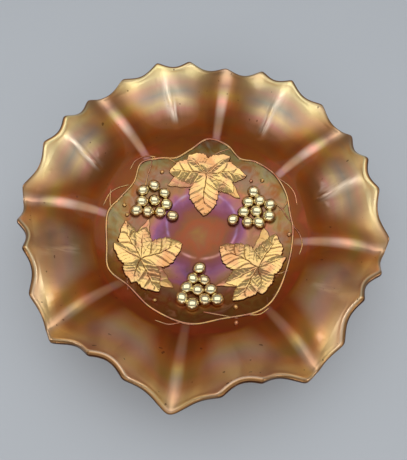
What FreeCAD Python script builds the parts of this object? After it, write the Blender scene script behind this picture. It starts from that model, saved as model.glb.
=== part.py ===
import FreeCAD, Part
import math
import os

import Sketcher

# A ruffled pressed-glass bowl: a low collar foot, a dished floor that carries a raised
# wreath of vine, leaves and grapes, a flared wall folded into ruffles, and a scalloped,
# fire-rounded edge.  Millimetres, +Z up, origin on the table under the middle of the foot.

Vector = FreeCAD.Vector
doc = FreeCAD.newDocument("ruffled_bowl")


# ---------------------------------------------------------------- driving dimensions

DIMENSIONS = [
    # foot and floor
    ("base_clearance", 2.0, "table to the underside of the floor at its middle"),
    ("floor_thickness", 4.0, "glass in the floor and at the root of the wall"),
    ("dish_radius", 137.5, "spherical radius of the floor's upper face"),
    ("well_radius", 68.0, "where the round floor ends and the ruffled wall begins"),
    ("foot_radius", 46.0, "outside of the collar foot at the table"),
    ("foot_width", 5.0, "width of the collar foot at the table"),
    ("foot_draft", 6.0, "degrees that each side of the foot leans, so that the mould opens"),
    # wall and edge
    ("rim_radius", 112.0, "outermost points of the edge, at the out folds"),
    ("rim_low_height", 43.1, "height of the edge at the out folds"),
    ("ruffle_depth", 14.0, "how far the edge comes in from an out fold to an in fold"),
    ("ruffle_rise", 21.3, "how far the edge climbs from an out fold to an in fold"),
    ("low_flare", 17.0, "degrees that the wall still climbs at the edge of an out fold"),
    ("high_flare", 62.0, "the same at an in fold"),
    ("edge_band", 8.0, "width of the scalloped edge band"),
    ("edge_thickness", 3.2, "glass in the edge band"),
    ("scallop_depth", 3.8, "depth of the hollow between two points of the edge"),
    ("ruffle_count", 8, "out folds round the bowl"),
    ("scallop_count", 28, "points round the edge"),
    ("fold_start", -97.2, "degrees, azimuth of the first out fold"),
    ("fold_drift", 3.6, "degrees that the folds crowd towards one side"),
    ("fold_crease", 1.46, "power of the fold wave: 1 gives sharp out folds, 2 gives round ones"),
    # wreath
    ("wreath_turn", -2.2, "degrees that the wreath is turned in the floor"),
    ("vine_margin", 6.7, "from the mean line of the vine to the rim of the floor"),
    ("vine_width", 1.3, "width of the vine"),
    ("twig_width", 0.9, "width of a stalk, stem or tendril where it leaves the vine"),
    ("vine_relief", 1.0, "height of the vine and its twigs above the floor"),
    ("stalk_run", 17.8, "from the vine to the place where a leaf joins its stalk"),
    ("plain_middle", 14.5, "radius of the plain middle, where the leaves' tips end"),
    ("leaf_relief", 2.0, "height of a leaf above the floor"),
    ("under_leaf_relief", 1.1, "height of the plain leaflets under a leaf"),
    ("grape_radius", 3.7, "radius of one grape"),
    ("grape_lift", 1.6, "height of a grape's middle above the floor"),
    ("bunch_margin", 11.8, "from the vine to the middle of a bunch's outermost grape"),
    ("grape_clearance", 0.3, "gap left round the grapes by leaves and stems"),
    ("bud_radius", 1.35, "radius of one bud"),
]

sheet = doc.addObject("Spreadsheet::Sheet", "Dims")
for row, (alias, value, note) in enumerate(DIMENSIONS, start=1):
    sheet.set(f"A{row}", alias)
    sheet.set(f"B{row}", str(value))
    sheet.set(f"C{row}", note)
    sheet.setAlias(f"B{row}", alias)
doc.recompute()


def dim(alias):
    """Number held by a cell of the sheet."""
    return float(sheet.get(alias))


DISH_CENTRE_EXPRESSION = "Dims.base_clearance + Dims.floor_thickness + Dims.dish_radius"
DISH_CENTRE = dim("base_clearance") + dim("floor_thickness") + dim("dish_radius")
VINE_RADIUS = dim("well_radius") - dim("vine_margin")
LEAF_REACH = VINE_RADIUS - dim("stalk_run")
LEAF_LENGTH = LEAF_REACH - dim("plain_middle")
nodes = []


def keep(item, label):
    """Name a finished sub-part and list it for writing."""
    item.Label = label
    nodes.append(item)
    return item


def free_form(label, shape):
    """Sub-part whose outline is a free curve, held as a plain shape."""
    item = doc.addObject("Part::Feature", label)
    item.Shape = shape
    item.Placement = FreeCAD.Placement()
    return keep(item, label)


# ---------------------------------------------------------------- foot and floor


def section_sketch(body, name):
    """Empty half-section of a turned piece, on the body's own XZ plane."""
    plane = next(f for f in body.Origin.OriginFeatures if f.Role == "XZ_Plane")
    sketch = body.newObject("Sketcher::SketchObject", name)
    sketch.AttachmentSupport = [(plane, "")]
    sketch.MapMode = "FlatFace"
    return sketch


def bind(sketch, constraint, name, expression):
    """Add a driving size to a sketch and tie it to the sheet."""
    index = sketch.addConstraint(constraint)
    sketch.renameConstraint(index, name)
    sketch.setExpression(f"Constraints.{name}", expression)


def join(sketch, first, first_end, second, second_end):
    sketch.addConstraint(Sketcher.Constraint("Coincident", first, first_end, second, second_end))


def dish_arc(radius, start_radius, end_radius):
    """Arc about the dish centre between two distances from the axis."""
    start = -math.pi / 2 + math.asin(start_radius / radius)
    end = -math.pi / 2 + math.asin(end_radius / radius)
    circle = Part.Circle(Vector(0, DISH_CENTRE, 0), Vector(0, 0, 1), radius)
    return Part.ArcOfCircle(circle, start, end)


def tie_dish_arc(sketch, arc, name, radius_expression):
    """Centre an arc on the bowl's axis at the dish centre and give it its radius."""
    x_axis, y_axis, centre = -1, -2, 3
    sketch.addConstraint(Sketcher.Constraint("PointOnObject", arc, centre, y_axis))
    bind(sketch, Sketcher.Constraint("DistanceY", x_axis, 1, arc, centre, DISH_CENTRE),
         f"{name}_centre", DISH_CENTRE_EXPRESSION)
    bind(sketch, Sketcher.Constraint("Radius", arc, dim("dish_radius")),
         f"{name}_radius", radius_expression)


def revolve_section(body, sketch, name):
    turn = body.newObject("PartDesign::Revolution", name)
    turn.Profile = sketch
    turn.ReferenceAxis = (sketch, ["V_Axis"])
    turn.Angle = 360
    body.Tip = turn


def make_floor():
    """Round dished floor, the same thickness all over, cut square to its own face."""
    body = doc.addObject("PartDesign::Body", "FloorBody")
    sketch = section_sketch(body, "FloorSection")
    inner_radius = dim("dish_radius")
    outer_radius = inner_radius + dim("floor_thickness")
    well = dim("well_radius")
    low_well = well * outer_radius / inner_radius
    upper = sketch.addGeometry(dish_arc(inner_radius, 0, well))
    lower = sketch.addGeometry(dish_arc(outer_radius, 0, low_well))
    edge_top = Vector(well, DISH_CENTRE - math.sqrt(inner_radius**2 - well**2), 0)
    edge_low = Vector(low_well, DISH_CENTRE - math.sqrt(outer_radius**2 - low_well**2), 0)
    edge = sketch.addGeometry(Part.LineSegment(edge_top, edge_low))
    middle = sketch.addGeometry(Part.LineSegment(
        Vector(0, DISH_CENTRE - inner_radius, 0), Vector(0, DISH_CENTRE - outer_radius, 0)))
    tie_dish_arc(sketch, upper, "upper", "Dims.dish_radius")
    tie_dish_arc(sketch, lower, "lower", "Dims.dish_radius + Dims.floor_thickness")
    join(sketch, upper, 2, edge, 1)
    join(sketch, lower, 2, edge, 2)
    join(sketch, upper, 1, middle, 1)
    join(sketch, lower, 1, middle, 2)
    sketch.addConstraint(Sketcher.Constraint("PointOnObject", upper, 1, -2))
    sketch.addConstraint(Sketcher.Constraint("PointOnObject", lower, 1, -2))
    bind(sketch, Sketcher.Constraint("DistanceX", -1, 1, upper, 2, well),
         "well_radius", "Dims.well_radius")
    bind(sketch, Sketcher.Constraint("DistanceX", -1, 1, lower, 2, low_well), "low_well_radius",
         "Dims.well_radius * (Dims.dish_radius + Dims.floor_thickness) / Dims.dish_radius")
    revolve_section(body, sketch, "FloorTurn")
    return keep(body, "well_floor")


def make_foot():
    """Collar foot: a ring with leaning sides whose top is shaped to the floor above it."""
    body = doc.addObject("PartDesign::Body", "FootBody")
    sketch = section_sketch(body, "FootSection")
    under_radius = dim("dish_radius") + dim("floor_thickness")
    outer = dim("foot_radius")
    inner = outer - dim("foot_width")
    slope = math.tan(math.radians(dim("foot_draft")))
    top_inner = inner - slope * (DISH_CENTRE - math.sqrt(under_radius**2 - inner**2))
    top_outer = outer + slope * (DISH_CENTRE - math.sqrt(under_radius**2 - outer**2))
    top = sketch.addGeometry(dish_arc(under_radius, top_inner, top_outer))
    corners = [
        Vector(top_outer, DISH_CENTRE - math.sqrt(under_radius**2 - top_outer**2), 0),
        Vector(outer, 0, 0),
        Vector(inner, 0, 0),
        Vector(top_inner, DISH_CENTRE - math.sqrt(under_radius**2 - top_inner**2), 0),
    ]
    outside = sketch.addGeometry(Part.LineSegment(corners[0], corners[1]))
    seat = sketch.addGeometry(Part.LineSegment(corners[1], corners[2]))
    inside = sketch.addGeometry(Part.LineSegment(corners[2], corners[3]))
    tie_dish_arc(sketch, top, "top", "Dims.dish_radius + Dims.floor_thickness")
    join(sketch, top, 2, outside, 1)
    join(sketch, outside, 2, seat, 1)
    join(sketch, seat, 2, inside, 1)
    join(sketch, inside, 2, top, 1)
    sketch.addConstraint(Sketcher.Constraint("PointOnObject", seat, 1, -1))
    sketch.addConstraint(Sketcher.Constraint("PointOnObject", seat, 2, -1))
    bind(sketch, Sketcher.Constraint("DistanceX", -1, 1, seat, 1, outer),
         "foot_radius", "Dims.foot_radius")
    bind(sketch, Sketcher.Constraint("DistanceX", seat, 2, seat, 1, outer - inner),
         "foot_width", "Dims.foot_width")
    lean = math.radians(90 - dim("foot_draft"))
    bind(sketch, Sketcher.Constraint("Angle", seat, 2, inside, 1, lean),
         "inside_lean", "90 - Dims.foot_draft")
    bind(sketch, Sketcher.Constraint("Angle", outside, 2, seat, 1, lean),
         "outside_lean", "90 - Dims.foot_draft")
    revolve_section(body, sketch, "FootTurn")
    return keep(body, "collar_foot_ring")


# ---------------------------------------------------------------- ruffled wall and edge

SAMPLES_PER_SCALLOP = 8
SAMPLES = SAMPLES_PER_SCALLOP * int(dim("scallop_count"))
STEP = 2 * math.pi / SAMPLES
# Control points this much outside a circle give a smooth closed curve lying on it.
ROUND_TRUE = 3 / (2 + math.cos(STEP))


def fold(azimuth):
    """0 at an out fold, 1 at an in fold."""
    drift = math.radians(dim("fold_drift")) * math.cos(azimuth)
    phase = dim("ruffle_count") * (azimuth - math.radians(dim("fold_start")) + drift)
    return abs(math.sin(phase / 2)) ** dim("fold_crease")


def scallop(azimuth):
    """0 on a point of the edge, 1 in the middle of the hollow between two points."""
    softness = 0.15
    phase = dim("scallop_count") * (azimuth - math.radians(dim("fold_start"))) / 2
    wave = math.hypot(math.sin(phase), softness) - softness
    return wave / (math.hypot(1, softness) - softness)


def mix(low, high, share):
    return low + (high - low) * share


def meridian(azimuth):
    """The wall's upper face in one upright plane: four controls of a cubic, as (radius, height)."""
    share = fold(azimuth)
    flare = math.radians(mix(dim("low_flare"), dim("high_flare"), share))
    root_slope = math.asin(dim("well_radius") / dim("dish_radius"))
    root = (dim("well_radius"), DISH_CENTRE - dim("dish_radius") * math.cos(root_slope))
    top = (dim("rim_radius") - dim("ruffle_depth") * share - dim("edge_band") * math.cos(flare),
           dim("rim_low_height") + dim("ruffle_rise") * share
           - dim("edge_band") * math.sin(flare))
    reach = math.dist(root, top) / 3
    return [
        root,
        (root[0] + reach * math.cos(root_slope), root[1] + reach * math.sin(root_slope)),
        (top[0] - reach * math.cos(flare), top[1] - reach * math.sin(flare)),
        top,
    ]


def wall_point(azimuth, share):
    """Point of the wall's upper face, share running 0 to 1 from the floor to the edge band."""
    weights = [(1 - share)**3, 3 * share * (1 - share)**2, 3 * share**2 * (1 - share), share**3]
    controls = meridian(azimuth)
    radius = sum(w * c[0] for w, c in zip(weights, controls))
    height = sum(w * c[1] for w, c in zip(weights, controls))
    return Vector(radius * math.cos(azimuth), radius * math.sin(azimuth), height)


def wall_frame(azimuth, share):
    """Directions at a wall point: along the wall outwards, and into the glass."""
    small = 1e-4
    along = wall_point(azimuth, share + small) - wall_point(azimuth, share - small)
    across = wall_point(azimuth + small, share) - wall_point(azimuth - small, share)
    inward = across.cross(along)
    return along.normalize(), inward.normalize()


def rounded(point):
    return Vector(point.x * ROUND_TRUE, point.y * ROUND_TRUE, point.z)


def ring_surface(rows):
    """Closed band round the bowl through rows of control points, cubic across when it can be."""
    degree = min(3, len(rows) - 1)
    spans = len(rows) - degree
    surface = Part.BSplineSurface()
    surface.buildFromPolesMultsKnots(
        [[rounded(row[i]) for row in rows] for i in range(SAMPLES)],
        [1] * (SAMPLES + 1),
        [degree + 1] + [1] * (spans - 1) + [degree + 1],
        list(range(SAMPLES + 1)),
        list(range(spans + 1)),
        True, False, 3, degree)
    return surface.toShape()


def ring_solid(surfaces):
    """Solid closed by bands that share their border rows."""
    shell = Part.makeShell([ring_surface(rows) for rows in surfaces])
    shell.sewShape()
    solid = Part.makeSolid(Part.Shell(shell.Faces))
    if solid.Volume < 0:
        solid.reverse()
    return solid


AZIMUTHS = [i * STEP for i in range(SAMPLES)]


def glass_at(share):
    return mix(dim("floor_thickness"), dim("edge_thickness"), share)


def wall_rows():
    """Control rows of the wall's upper and lower faces, from the floor to the edge band."""
    upper = [[], [], [], []]
    lower = [[], [], [], []]
    for azimuth in AZIMUTHS:
        for i, (radius, height) in enumerate(meridian(azimuth)):
            share = i / 3
            point = Vector(radius * math.cos(azimuth), radius * math.sin(azimuth), height)
            inward = wall_frame(azimuth, share)[1]
            upper[i].append(point)
            lower[i].append(point + inward * glass_at(share))
    return upper, lower


def make_wall(upper, lower):
    """Ruffled wall: starts square on the round floor and ends at the edge band."""
    shape = ring_solid([upper, lower, [upper[0], lower[0]], [upper[-1], lower[-1]]])
    return free_form("ruffled_wall", shape)


def make_edge(upper, lower):
    """Scalloped edge band: goes on straight from the wall and ends in a rounded nose."""
    # Section controls: share of the band's length, share of its thickness.
    section = [(0, 0), (0.6, 0), (0.97, 0), (1, 0.5), (0.97, 1), (0.6, 1), (0, 1)]
    rows = [[] for _ in section]
    for i, azimuth in enumerate(AZIMUTHS):
        along = wall_frame(azimuth, 1)[0]
        through = lower[-1][i] - upper[-1][i]
        length = dim("edge_band") - dim("scallop_depth") * scallop(azimuth)
        for row, (out, down) in zip(rows, section):
            row.append(upper[-1][i] + along * (length * out) + through * down)
    return free_form("scalloped_edge", ring_solid([rows, [rows[0], rows[-1]]]))


# ---------------------------------------------------------------- wreath on the floor
# Leaves, stalks, vine and tendrils are flat outlines lifted off the floor: each stands on
# the floor's upper face and is as tall as its relief, square to the dish.

LEAF_TURNS = {"back": 90, "left": 210, "right": 330}
BUNCH_TURNS = {"left": 150, "right": 30, "front": 270}

# Wavy line of the vine: azimuth in degrees, radius as a share of the mean radius.
VINE_WAVE = [
    (2, 0.97), (14, 0.97), (28, 1.01), (42, 1.03), (56, 1.01), (67, 0.965), (78, 1.05), (90, 1.08),
    (101, 0.98), (112, 0.925), (123, 0.98), (135, 1.03), (147, 0.94), (161, 0.96), (175, 1.02),
    (196, 1.01), (210, 1.05), (224, 0.97), (244, 0.99), (266, 1.02), (286, 0.98), (306, 1.05),
    (321, 1.03), (343, 0.97),
]

# Middles of the grapes of one bunch: outwards from the tip grape, and sideways, as shares of
# the grape's diameter.
GRAPES = {
    "left": [(0, 0), (1.1, 0.44), (1.07, -0.59), (1.95, 1.07), (2.15, -0.15), (1.81, -1.31),
             (2.8, 1.64), (2.94, 0.63), (3.46, -0.27), (2.95, -1.3)],
    "right": [(0, 0), (1.15, 0.14), (0.98, -0.9), (1.94, 0.79), (2.16, -0.4), (1.85, -1.45),
              (2.79, 1.38), (2.88, 0.35), (3.44, -0.51), (2.88, -1.42)],
    "front": [(0, 0), (1.05, -0.5), (1.16, 0.53), (1.95, -0.98), (2.16, 0.02), (2.0, 1.13),
              (2.94, -1.27), (3.42, -0.36), (2.97, 0.65), (2.84, 1.73)],
}

# Buds beside each bunch: degrees from the bunch's spoke, share of the vine's radius.
BUDS = {
    "left": [(-24, 0.84), (15, 0.89), (21, 0.83)],
    "right": [(21, 0.82), (15, 0.9), (-30, 0.93)],
    "front": [(-28, 0.9), (26, 0.9), (22, 1.06)],
}

# Lines of the twigs: degrees from the first spoke, share of the vine's radius.
TWIGS = {
    "leaf_stalk_back": [(91, 0.71), (88, 0.85), (83, 0.95), (75, 1.03)],
    "leaf_stalk_left": [(211, 0.71), (213, 0.84), (219, 0.93), (226, 1.0)],
    "leaf_stalk_right": [(331, 0.71), (328, 0.84), (332, 0.93), (336, 1.0)],
    "bunch_stem_left": [(144, 0.82), (138, 0.88), (131, 0.95), (126, 1.03)],
    "bunch_stem_right": [(25, 0.87), (19, 0.91), (13, 0.93), (5, 0.99)],
    "bunch_stem_front": [(274, 0.88), (281, 0.91), (287, 0.95), (294, 1.02)],
    "tendril_back": [(119, 0.97), (113, 0.86), (115, 0.75), (111, 0.67)],
    "tendril_back_outer": [(124, 1.0), (130, 1.06), (137, 1.08), (143, 1.05)],
    "tendril_left": [(150, 0.95), (157, 1.03), (163, 1.07), (171, 1.08)],
    "tendril_left_outer": [(172, 1.0), (166, 1.04), (160, 1.08)],
    "tendril_right": [(40, 1.03), (31, 1.07), (25, 1.08), (18, 1.06)],
    "tendril_right_inner": [(24, 1.0), (20, 0.94), (19, 0.88)],
    "tendril_right_outer": [(6, 0.97), (0, 1.03), (353, 1.06), (347, 1.05)],
    "tendril_front": [(300, 1.03), (305, 1.08), (311, 1.085)],
    "tendril_front_outer": [(262, 1.02), (256, 1.07), (249, 1.08)],
}


def wreath_angle(degrees):
    return math.radians(degrees + dim("wreath_turn"))


def spoke(degrees, radius, sideways=0.0):
    """Flat point at a radius along a spoke of the wreath, and off to its left side."""
    angle = wreath_angle(degrees)
    return Vector(radius * math.cos(angle) - sideways * math.sin(angle),
                  radius * math.sin(angle) + sideways * math.cos(angle), 0)


def relief_layer(height):
    """Glass that lies on the dish to a height, as a hollow ball."""
    centre = Vector(0, 0, DISH_CENTRE)
    ball = Part.makeSphere(dim("dish_radius"), centre)
    return ball.cut(Part.makeSphere(dim("dish_radius") - height, centre))


def raised(outline, height):
    """Solid that stands on the floor inside a flat outline."""
    column = outline.extrude(Vector(0, 0, DISH_CENTRE - dim("dish_radius") / 2))
    shape = column.common(relief_layer(height))
    return shape.Solids[0] if len(shape.Solids) == 1 else Part.Compound(shape.Solids)


def closed_outline(points):
    return Part.Face(Part.makePolygon(points + points[:1]))


def ribbon(points, width, end_width=None):
    """Flat strip that follows a smooth line, tapering to its end width."""
    line = Part.BSplineCurve()
    line.interpolate(Points=points)
    steps = 4 * len(points)
    left, right = [], []
    for i in range(steps + 1):
        place = mix(line.FirstParameter, line.LastParameter, i / steps)
        half = mix(width, width if end_width is None else end_width, i / steps) / 2
        tangent = line.tangent(place)[0]
        side = Vector(-tangent.y, tangent.x, 0) * half
        left.append(line.value(place) + side)
        right.append(line.value(place) - side)
    return closed_outline(left + right[::-1])


def vine_curve(offset):
    points = [spoke(azimuth, share * VINE_RADIUS + offset) for azimuth, share in VINE_WAVE]
    line = Part.BSplineCurve()
    line.interpolate(Points=points, PeriodicFlag=True)
    return Part.Face(Part.Wire(line.toShape()))


def vine_outline():
    half = dim("vine_width") / 2
    return vine_curve(half).cut(vine_curve(-half))


def lobe(base, turn, length, width, teeth):
    """One pointed lobe of a leaf with saw teeth along both sides."""
    tooth_depth = 0.07 * width
    sides = {1: [], -1: []}
    for side, points in sides.items():
        for tooth in range(2 * teeth):
            share = (tooth + 1) / (2 * teeth + 1)
            reach = share * length
            bulge = math.sin(math.pi * share**0.8) ** 0.75 * width / 2
            if tooth % 2 == 0:
                bulge -= tooth_depth
            points.append(Vector(reach, side * bulge, 0))
    outline = [Vector(0, 0, 0)] + sides[1] + [Vector(length, 0, 0)] + sides[-1][::-1]
    face = closed_outline(outline)
    face.rotate(Vector(), Vector(0, 0, 1), math.degrees(turn))
    face.translate(base)
    return face


# Lobes of a leaf: degrees from its middle lobe, length and width as shares of its length.
LEAF_LOBES = [(0, 1.0, 0.72), (60, 0.82, 0.42), (89, 0.97, 0.5), (-87, 0.86, 0.5),
              (126, 0.68, 0.5), (-133, 0.6, 0.5)]
UNDER_LOBES = [(58, 1.03, 0.34), (-68, 0.96, 0.44)]


def leaf_faces(turn, lobes, teeth):
    base = spoke(turn, LEAF_REACH)
    inward = wreath_angle(turn + 180)
    return [lobe(base, inward + math.radians(swing), LEAF_LENGTH * length,
                 LEAF_LENGTH * width, teeth)
            for swing, length, width in lobes]


def leaf_outline(turn):
    faces = leaf_faces(turn, LEAF_LOBES, 6)
    return faces[0].fuse(faces[1:]).removeSplitter()


def under_leaf_outline(turn, leaf):
    """Plain pointed leaflets that show between the lobes of the leaf lying over them."""
    faces = leaf_faces(turn, UNDER_LOBES, 1)
    return faces[0].fuse(faces[1:]).cut(leaf)


def ball_places(bunch):
    """Flat middles of the grapes of a bunch."""
    diameter = 2 * dim("grape_radius")
    tip = VINE_RADIUS - dim("bunch_margin") - diameter * max(out for out, _ in GRAPES[bunch])
    return [spoke(BUNCH_TURNS[bunch], tip + out * diameter, side * diameter)
            for out, side in GRAPES[bunch]]


def bud_places(bunch):
    return [spoke(BUNCH_TURNS[bunch] + swing, share * VINE_RADIUS) for swing, share in BUDS[bunch]]


def footprint(places, radius):
    """Flat discs that neighbours are trimmed to."""
    return [Part.Face(Part.Wire(Part.makeCircle(radius, place))) for place in places]


def beads(label, places, radius_cell, lift_expression):
    """Balls set in the floor: primitives tied to the sheet, cut off flush with the dish."""
    glass = doc.addObject("Part::Sphere", f"{label}_dish")
    glass.setExpression("Radius", "Dims.dish_radius")
    glass.setExpression("Placement.Base.z", DISH_CENTRE_EXPRESSION)
    balls = []
    for place in places:
        ball = doc.addObject("Part::Sphere", f"{label}_ball")
        ball.setExpression("Radius", f"Dims.{radius_cell}")
        ball.Placement.Base = place
        ball.setExpression(
            "Placement.Base.z",
            f"{DISH_CENTRE_EXPRESSION} - sqrt(Dims.dish_radius ^ 2 - {place.Length ** 2:.4f})"
            f" + {lift_expression}")
        balls.append(ball)
    group = doc.addObject("Part::Compound", f"{label}_group")
    group.Links = balls
    seated = doc.addObject("Part::MultiCommon", f"{label}_seated")
    seated.Shapes = [group, glass]
    return keep(seated, label)


def largest(shape):
    """Main piece of an outline that its neighbours have cut up."""
    return max(shape.Faces, key=lambda face: face.Area)


def make_wreath():
    """Tallest pieces first, and each later outline is trimmed to those before it."""
    taken = []
    clear_of_grapes = dim("grape_radius") + dim("grape_clearance")
    for bunch in BUNCH_TURNS:
        places = ball_places(bunch)
        beads(f"grape_bunch_{bunch}", places, "grape_radius", "Dims.grape_lift")
        taken += footprint(places, clear_of_grapes)

    vine = vine_outline()
    free_form("vine_ring", raised(vine, dim("vine_relief")))
    taken.append(vine)

    leaves = {place: leaf_outline(turn).cut(taken) for place, turn in LEAF_TURNS.items()}
    for place, leaf in leaves.items():
        free_form(f"vine_leaf_{place}", raised(largest(leaf), dim("leaf_relief")))
        taken.append(largest(leaf))
    for place, turn in LEAF_TURNS.items():
        leaflet = under_leaf_outline(turn, leaves[place]).cut(taken)
        free_form(f"under_leaves_{place}", raised(leaflet, dim("under_leaf_relief")))
        taken += leaflet.Faces

    for bunch in BUNCH_TURNS:
        places = bud_places(bunch)
        beads(f"buds_{bunch}", places, "bud_radius", "0.3 * Dims.bud_radius")
        taken += footprint(places, dim("bud_radius"))

    for label, line in TWIGS.items():
        points = [spoke(swing, share * VINE_RADIUS) for swing, share in line]
        twig = largest(ribbon(points, dim("twig_width"), 0.6 * dim("twig_width")).cut(taken))
        free_form(label, raised(twig, dim("vine_relief")))
        taken.append(twig)


# ---------------------------------------------------------------- build, check and write


def check(item):
    """Stop on a failed object or a broken shape."""
    if {"Invalid", "Error"} & set(item.State):
        raise RuntimeError(f"{item.Label}: {item.State}")
    shape = getattr(item, "Shape", None)
    if item in nodes and (shape is None or shape.isNull() or not shape.isValid()
                          or not shape.Solids or shape.Volume <= 0):
        raise RuntimeError(f"{item.Label} has no sound solid")


upper_rows, lower_rows = wall_rows()
make_floor()
make_foot()
make_wall(upper_rows, lower_rows)
make_edge(upper_rows, lower_rows)
make_wreath()
doc.recompute()

for item in doc.Objects:
    check(item)

os.makedirs("parts", exist_ok=True)
for item in nodes:
    item.Shape.exportStep(os.path.join("parts", f"{item.Label}.step"))
    print(f"{item.Label}: {len(item.Shape.Solids)} solid(s), {item.Shape.Volume:.0f} mm3")
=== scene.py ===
"""Looks of a ruffled, pressed lustre-glass bowl with a wreath of vine leaves and grapes."""

import logging
import math
from dataclasses import dataclass
from enum import Enum
from typing import Iterable, Sequence

import bmesh
import bpy
import numpy as np
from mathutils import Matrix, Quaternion, Vector


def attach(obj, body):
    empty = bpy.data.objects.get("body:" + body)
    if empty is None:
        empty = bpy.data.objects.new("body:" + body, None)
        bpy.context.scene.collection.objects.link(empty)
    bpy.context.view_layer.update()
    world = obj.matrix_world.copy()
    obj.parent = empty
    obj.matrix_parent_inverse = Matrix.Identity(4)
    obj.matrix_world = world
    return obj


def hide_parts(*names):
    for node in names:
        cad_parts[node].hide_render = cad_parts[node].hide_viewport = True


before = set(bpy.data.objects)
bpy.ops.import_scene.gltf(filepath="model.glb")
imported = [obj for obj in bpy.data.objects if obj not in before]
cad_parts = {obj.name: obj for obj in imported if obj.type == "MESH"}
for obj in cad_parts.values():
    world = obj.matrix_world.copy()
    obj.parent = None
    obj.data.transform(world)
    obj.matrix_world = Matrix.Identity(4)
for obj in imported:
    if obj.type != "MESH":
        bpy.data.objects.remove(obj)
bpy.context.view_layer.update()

BODY = "root"
MM = 0.001
LINE_STEP = 0.4 * MM
# Metres of edge band that the colours' run counts as one more wall.
BAND_REACH = 0.04

Colour = tuple[float, float, float, float]
log = logging.getLogger("bowl")


# ------------------------------------------------------------------ shader workbench


def paint(code: str) -> Colour:
    """Turn a hex colour, as a paint maker writes it, into linear light.

    Args:
        code: six hex digits.

    Returns:
        Linear red, green and blue with full cover.
    """
    shares = [int(code[i:i + 2], 16) / 255 for i in (0, 2, 4)]
    linear = [s / 12.92 if s <= 0.04045 else ((s + 0.055) / 1.055) ** 2.4 for s in shares]
    return (*linear, 1.0)


class Wire:
    """A number or colour travelling through a shader, with arithmetic for numbers."""

    def __init__(self, bench: "Bench", socket: bpy.types.NodeSocket) -> None:
        """Hold an output socket and the bench that it belongs to."""
        self.bench = bench
        self.socket = socket

    def math(self, operation: str, *others: "Wire | float", swap: bool = False) -> "Wire":
        """Join this number to others through one Math node.

        Args:
            operation: the Math node's operation.
            others: further numbers or wires.
            swap: put this number after the first of the others.

        Returns:
            The result.
        """
        values = [self, *others]
        if swap:
            values[0], values[1] = values[1], values[0]
        return self.bench.node("ShaderNodeMath", {"operation": operation}, dict(enumerate(values)))

    def __add__(self, other: "Wire | float") -> "Wire":
        """Sum."""
        return self.math("ADD", other)

    __radd__ = __add__

    def __mul__(self, other: "Wire | float") -> "Wire":
        """Product."""
        return self.math("MULTIPLY", other)

    __rmul__ = __mul__

    def __sub__(self, other: "Wire | float") -> "Wire":
        """Difference."""
        return self.math("SUBTRACT", other)

    def __rsub__(self, other: "Wire | float") -> "Wire":
        """Difference from a plain number."""
        return self.math("SUBTRACT", other, swap=True)

    def __truediv__(self, other: "Wire | float") -> "Wire":
        """Quotient."""
        return self.math("DIVIDE", other)

    def __rtruediv__(self, other: "Wire | float") -> "Wire":
        """Quotient of a plain number by this one."""
        return self.math("DIVIDE", other, swap=True)

    def wave(self, turns: float = 1.0, shift: float = 0.0) -> "Wire":
        """Cosine wave from 0 to 1, with a crest where number * turns + shift is whole."""
        phase = (self * turns + shift) * (2 * math.pi)
        return phase.math("COSINE") * 0.5 + 0.5

    def ease(self, low: float, high: float) -> "Wire":
        """Turn the number into a smooth step.

        Args:
            low: where the step starts, with 0.
            high: where it ends, with 1; it may be below low, for a step that falls.

        Returns:
            A share from 0 to 1.
        """
        rising = high > low
        ends = {"From Min": min(low, high), "From Max": max(low, high),
                "To Min": 0.0 if rising else 1.0, "To Max": 1.0 if rising else 0.0}
        return self.bench.node("ShaderNodeMapRange", {"interpolation_type": "SMOOTHSTEP"},
                               {"Value": self, **ends})

    def ramp(self, stops: Sequence[tuple[float, str]]) -> "Wire":
        """Colour from a row of stops.

        Args:
            stops: places along the ramp and their hex colours.

        Returns:
            The colour.
        """
        return self.bench.node("ShaderNodeValToRGB", {"stops": stops}, {"Fac": self})


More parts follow.
